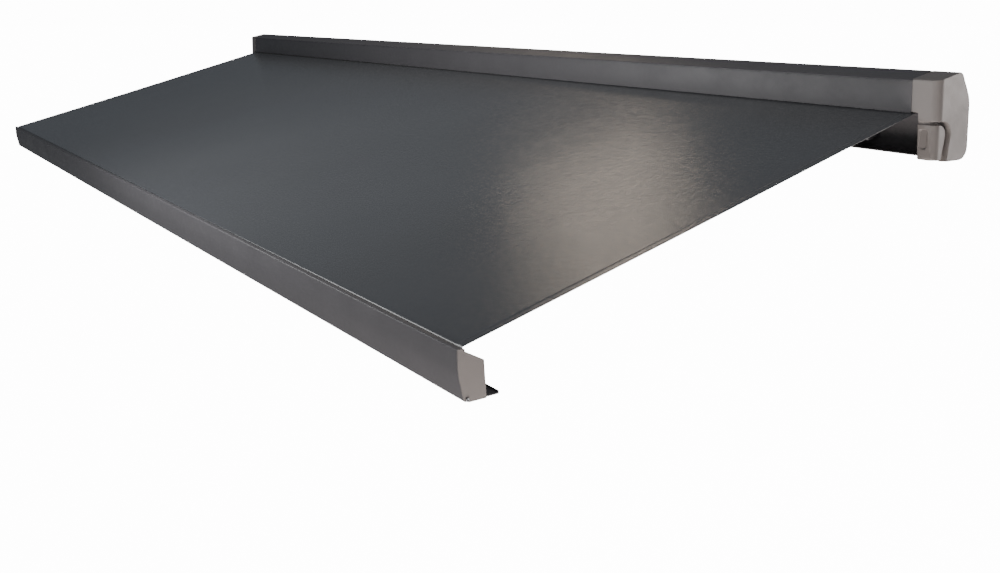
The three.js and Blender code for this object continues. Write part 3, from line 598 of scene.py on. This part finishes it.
def sheet_columns(half_width):
    """Where the sheet's mesh has its columns: evenly between the hems, and at each hem's step."""
    hem = sizes().hem_width
    edge = [half_width, half_width - hem * 0.5, half_width - hem + 1 * MM, half_width - hem - 1 * MM]
    inner = half_width - hem - HEM_MARGIN
    middle = [inner - 2 * inner * k / SHEET_COLUMNS for k in range(SHEET_COLUMNS + 1)]
    return edge + middle + [-x for x in reversed(edge)]


def sheet_point(leave, reach, half_width, x, row):
    """A point of the sheet and its flat distance from the roller; the last rows bend into the groove."""
    if row <= SHEET_ROWS:
        along = reach * row / SHEET_ROWS
        point = leave + DOWN_SLOPE * along
        point = point + CLOTH_UP * sheet_height(x, row / SHEET_ROWS, half_width)
        return point + CLOTH_UP * sizes().hem_rise * hem_share(x, half_width), along
    turn = (row - SHEET_ROWS) / BEND_ROWS
    point = leave + DOWN_SLOPE * (reach + BEND_REACH * math.sin(turn * BEND_ANGLE))
    return point - Vector((0, 0, 1)) * BEND_DROP * turn * turn, reach + GROOVE_CLOTH * turn


def sheet_shape(leave, reach, half_width):
    """The upper side of the sheet, with its flat place in metres as its UV."""
    shape = bmesh.new()
    uv = shape.loops.layers.uv.new("sheet")
    flat = {}
    grid = []
    for row in range(SHEET_ROWS + 1 + BEND_ROWS):
        line = []
        for x in sheet_columns(half_width):
            point, along = sheet_point(leave, reach, half_width, x, row)
            vertex = shape.verts.new((x, point.y, point.z))
            flat[vertex] = (x, along)
            line.append(vertex)
        grid.append(line)
    for upper, lower in zip(grid, grid[1:]):
        for corners in zip(upper, upper[1:], lower[1:], lower):
            for loop in shape.faces.new(corners).loops:
                loop[uv].uv = flat[loop.vert]
    return shape


def cloth_piece(shape, name, thickness):
    """A piece of cloth from the upper or outer side that a bmesh holds; frees the bmesh."""
    bmesh.ops.recalc_face_normals(shape, faces=shape.faces)
    top = max(shape.faces, key=lambda face: face.calc_center_median().z)
    if top.normal.z < 0:
        bmesh.ops.reverse_faces(shape, faces=shape.faces)
    mesh = bpy.data.meshes.new(name)
    shape.to_mesh(mesh)
    shape.free()
    piece = new_object(name, mesh)
    body = piece.modifiers.new("thickness", "SOLIDIFY")
    body.thickness = thickness
    body.offset = -1.0
    apply_modifiers(piece)
    smooth(piece, 50.0)
    dress(piece, "awning_cloth")
    return piece


class AWNING_OT_cloth(bpy.types.Operator):
    """The cloth: one taut sheet with doubled side hems, from the roller to the front bar's groove"""

    bl_idname = "awning.cloth"
    bl_label = "Cloth"

    def execute(self, context):
        leave, reach, half_width = cloth_ends()
        piece = cloth_piece(sheet_shape(leave, reach, half_width), "awning_sheet", SHEET_THICKNESS)
        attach(piece, "casing")
        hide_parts("cloth")
        squash_cloth(piece)
        cloth_turns(half_width - TURN_END_GAP)
        hem_stitches(leave, reach, half_width)
        return {"FINISHED"}


def cloth_turns(half_width):
    """The cloth's turns round the roller, as one ring."""
    centre, radius = roller_size()
    radius = radius + TURN_RISE
    columns = [half_width - 2 * half_width * k / TURN_COLUMNS for k in range(TURN_COLUMNS + 1)]
    shape = bmesh.new()
    uv = shape.loops.layers.uv.new("sheet")
    rings = []
    for k in range(TURN_STEPS):
        angle = 2 * math.pi * k / TURN_STEPS
        y = centre.y + radius * math.cos(angle)
        z = centre.z + radius * math.sin(angle)
        rings.append([shape.verts.new((x, y, z)) for x in columns])
    for k in range(TURN_STEPS):
        upper, lower = rings[k], rings[(k + 1) % TURN_STEPS]
        around = (radius * 2 * math.pi * k / TURN_STEPS, radius * 2 * math.pi * (k + 1) / TURN_STEPS)
        for i in range(TURN_COLUMNS):
            face = shape.faces.new((upper[i], upper[i + 1], lower[i + 1], lower[i]))
            places = ((i, 0), (i + 1, 0), (i + 1, 1), (i, 1))
            for loop, (column, side) in zip(face.loops, places):
                loop[uv].uv = (columns[column], around[side])
    piece = cloth_piece(shape, "cloth_turns", TURN_THICKNESS)
    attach(piece, "roller")


def stitch_tree():
    """Geometry Nodes: one stitch at every pitch along the seams."""
    tree = bpy.data.node_groups.new("seam_stitches", "GeometryNodeTree")
    sockets = (
        ("Seams", "Geometry"),
        ("Pitch", "Float"),
        ("Length", "Float"),
        ("Thread", "Float"),
        ("Finish", "Material"),
    )
    for label, kind in sockets:
        tree.interface.new_socket(name=label, in_out="INPUT", socket_type=f"NodeSocket{kind}")
    tree.interface.new_socket(name="Stitches", in_out="OUTPUT", socket_type="NodeSocketGeometry")
    start = tree.nodes.new("NodeGroupInput").outputs
    curve = tree.nodes.new("GeometryNodeMeshToCurve")
    wire(tree, start["Seams"], curve.inputs["Mesh"])
    even = tree.nodes.new("GeometryNodeResampleCurve")
    even.mode = "LENGTH"
    wire(tree, curve.outputs["Curve"], even.inputs["Curve"])
    wire(tree, start["Pitch"], even.inputs["Length"])
    bead = tree.nodes.new("GeometryNodeMeshUVSphere")
    bead.inputs["Segments"].default_value = 8
    bead.inputs["Rings"].default_value = 5
    bead.inputs["Radius"].default_value = 1.0
    half = math_node(tree, "MULTIPLY", start["Length"], 0.5)
    shape = tree.nodes.new("ShaderNodeCombineXYZ")
    wire(tree, half, shape.inputs["X"])
    wire(tree, start["Thread"], shape.inputs["Y"])
    wire(tree, start["Thread"], shape.inputs["Z"])
    sized = tree.nodes.new("GeometryNodeTransform")
    wire(tree, bead.outputs["Mesh"], sized.inputs["Geometry"])
    wire(tree, shape.outputs["Vector"], sized.inputs["Scale"])
    turn = tree.nodes.new("FunctionNodeAlignEulerToVector")
    turn.axis = "X"
    wire(tree, tree.nodes.new("GeometryNodeInputTangent").outputs["Tangent"], turn.inputs["Vector"])
    sown = tree.nodes.new("GeometryNodeInstanceOnPoints")
    wire(tree, even.outputs["Curve"], sown.inputs["Points"])
    wire(tree, sized.outputs["Geometry"], sown.inputs["Instance"])
    wire(tree, turn.outputs["Rotation"], sown.inputs["Rotation"])
    real = tree.nodes.new("GeometryNodeRealizeInstances")
    wire(tree, sown.outputs["Instances"], real.inputs["Geometry"])
    dressed = tree.nodes.new("GeometryNodeSetMaterial")
    wire(tree, real.outputs["Geometry"], dressed.inputs["Geometry"])
    wire(tree, start["Finish"], dressed.inputs["Material"])
    wire(tree, dressed.outputs["Geometry"], tree.nodes.new("NodeGroupOutput").inputs["Stitches"])
    return tree


def hem_stitches(leave, reach, half_width):
    """Two seams along each side hem."""
    s = sizes()
    mesh = bpy.data.meshes.new("hem_stitches")
    points, edges = [], []
    for sign in (-1, 1):
        for inset in (SEAM_INSET, s.hem_width - SEAM_INSET):
            x = sign * (half_width - inset)
            first = len(points)
            for row in range(1, SHEET_ROWS):
                point = leave + DOWN_SLOPE * (reach * row / SHEET_ROWS)
                rise = sheet_height(x, row / SHEET_ROWS, half_width) + s.hem_rise + 0.5 * s.thread
                point = point + CLOTH_UP * rise
                points.append((x, point.y, point.z))
            edges += [(k, k + 1) for k in range(first, len(points) - 1)]
    mesh.from_pydata(points, edges, [])
    piece = new_object("hem_stitches", mesh)
    sewing = piece.modifiers.new("sewing", "NODES")
    sewing.node_group = stitch_tree()
    values = {
        "Pitch": s.stitch_pitch,
        "Length": s.stitch_length,
        "Thread": s.thread,
        "Finish": finishes()["thread"],
    }
    for socket in sewing.node_group.interface.items_tree:
        if socket.in_out == "INPUT" and socket.name in values:
            sewing[socket.identifier] = values[socket.name]
    apply_modifiers(piece)
    piece.data.shade_smooth()
    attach(piece, "casing")
    squash_cloth(piece)


def squash_cloth(piece):
    """Gives the piece a mesh of its own."""
    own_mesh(piece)


class AWNING_OT_stage(bpy.types.Operator):
    """Floor, soft lights and camera"""

    bl_idname = "awning.stage"
    bl_label = "Stage"

    def execute(self, context):
        floor()
        lights()
        camera()
        return {"FINISHED"}


FLOOR_DROP = 2.35
FLOOR_RADIUS = 160.0
STUDIO_WHITE = 14.0


def floor():
    """A pale seamless floor: bright to look at, dim as a source of light."""
    mesh = bpy.data.meshes.new("floor")
    shape = bmesh.new()
    bmesh.ops.create_circle(shape, cap_ends=True, segments=64, radius=FLOOR_RADIUS)
    bmesh.ops.translate(shape, verts=shape.verts, vec=(0, 0, -FLOOR_DROP))
    shape.to_mesh(mesh)
    shape.free()
    ground = new_object("floor", mesh)
    material, tree, shader = new_material("floor")
    place = tree.nodes.new("ShaderNodeTexCoord").outputs["Object"]
    tone = noise_node(tree, place, 0.8, 3.0)
    wire(tree, mixed(tree, tone, (0.78, 0.78, 0.78), (0.82, 0.82, 0.82)), shader.inputs["Base Color"])
    shader.inputs["Roughness"].default_value = 0.95
    shader.inputs["Specular IOR Level"].default_value = 0.1
    shader.inputs["Emission Color"].default_value = (1.0, 1.0, 1.0, 1.0)
    seen = tree.nodes.new("ShaderNodeLightPath").outputs["Is Camera Ray"]
    wire(tree, math_node(tree, "MULTIPLY", seen, STUDIO_WHITE), shader.inputs["Emission Strength"])
    mesh.materials.append(material)


def soft_box(name, place, target, size, power, rgb=(1.0, 1.0, 1.0)):
    """A soft rectangular studio light at place, facing target."""
    data = bpy.data.lights.new(name, "AREA")
    data.shape = "RECTANGLE"
    data.size, data.size_y = size
    data.energy = power
    data.color = rgb
    lamp = bpy.data.objects.new(name, data)
    lamp.location = place
    lamp.rotation_euler = (Vector(target) - Vector(place)).to_track_quat("-Z", "Y").to_euler()
    bpy.context.scene.collection.objects.link(lamp)


def studio_world():
    """A dim cool room whose walls look as white as the floor."""
    world = bpy.data.worlds.new("studio")
    world.use_nodes = True
    tree = world.node_tree
    room = tree.nodes["Background"]
    room.inputs["Color"].default_value = (0.80, 0.88, 1.0, 1.0)
    room.inputs["Strength"].default_value = 0.15
    wall = tree.nodes.new("ShaderNodeBackground")
    wall.inputs["Color"].default_value = (1.0, 1.0, 1.0, 1.0)
    wall.inputs["Strength"].default_value = STUDIO_WHITE
    both = tree.nodes.new("ShaderNodeMixShader")
    wire(tree, tree.nodes.new("ShaderNodeLightPath").outputs["Is Camera Ray"], both.inputs["Fac"])
    wire(tree, room.outputs[0], both.inputs[1])
    wire(tree, wall.outputs[0], both.inputs[2])
    wire(tree, both.outputs[0], tree.nodes["World Output"].inputs["Surface"])
    bpy.context.scene.world = world


def lights():
    studio_world()
    sun = bpy.data.lights.new("overhead", "SUN")
    sun.energy = 0.45
    sun.angle = math.radians(60)
    overhead = bpy.data.objects.new("overhead", sun)
    overhead.rotation_euler = (math.radians(-12), math.radians(14), 0)
    bpy.context.scene.collection.objects.link(overhead)
    soft_box("cloth_glow", (-1.50, 1.02, 2.25), (2.06, -0.98, -0.23), (0.95, 0.30), 9.5, (1.0, 0.84, 0.68))
    soft_box("hood_box", (0.4, -2.3, 0.55), (1.7, -0.14, 0.03), (1.6, 1.0), 34)
    soft_box("front_box", (1.0, -5.5, 0.3), (1.2, -0.8, -0.1), (2.2, 1.6), 48)
    soft_box("end_box", (4.6, 3.0, 0.2), (2.25, -0.2, 0.0), (2.4, 2.0), 122, (1.0, 0.94, 0.91))
    soft_box("low_fill", (2.6, -1.2, -1.4), (2.0, -0.1, -0.1), (1.2, 1.2), 42, (1.0, 0.93, 0.88))


def camera():
    data = bpy.data.cameras.new("camera")
    data.sensor_width = 36.0
    data.lens = 38.585
    data.shift_y = -0.14
    data.clip_end = 500.0
    view = bpy.data.objects.new("camera", data)
    view.location = (3.7810, -2.4139, 0.2613)
    heading = math.radians(56.311)
    pitch = math.radians(-7.400)
    view.rotation_euler = (math.radians(90) + pitch, 0.0, heading)
    bpy.context.scene.collection.objects.link(view)
    bpy.context.scene.camera = view


class AWNING_PT_panel(bpy.types.Panel):
    """Lists the awning's pieces"""

    bl_idname = "AWNING_PT_panel"
    bl_label = "Awning"
    bl_space_type = "VIEW_3D"
    bl_region_type = "UI"
    bl_category = "Awning"

    def draw(self, context):
        for operator in OPERATORS:
            self.layout.operator(operator.bl_idname)


OPERATORS = (
    AWNING_OT_profiles,
    AWNING_OT_end_caps,
    AWNING_OT_brackets,
    AWNING_OT_roller,
    AWNING_OT_arms,
    AWNING_OT_cloth,
    AWNING_OT_stage,
)
CLASSES = (AwningSizes, AwningColours, *OPERATORS, AWNING_PT_panel)


def register():
    for each in CLASSES:
        bpy.utils.register_class(each)
    bpy.types.Scene.awning_sizes = PointerProperty(type=AwningSizes)
    bpy.types.Scene.awning_colours = PointerProperty(type=AwningColours)


def unregister():
    del bpy.types.Scene.awning_colours
    del bpy.types.Scene.awning_sizes
    for each in reversed(CLASSES):
        bpy.utils.unregister_class(each)


def main():
    register()
    for operator in OPERATORS:
        area, name = operator.bl_idname.split(".")
        getattr(getattr(bpy.ops, area), name)()


if __name__ == "__main__":
    main()
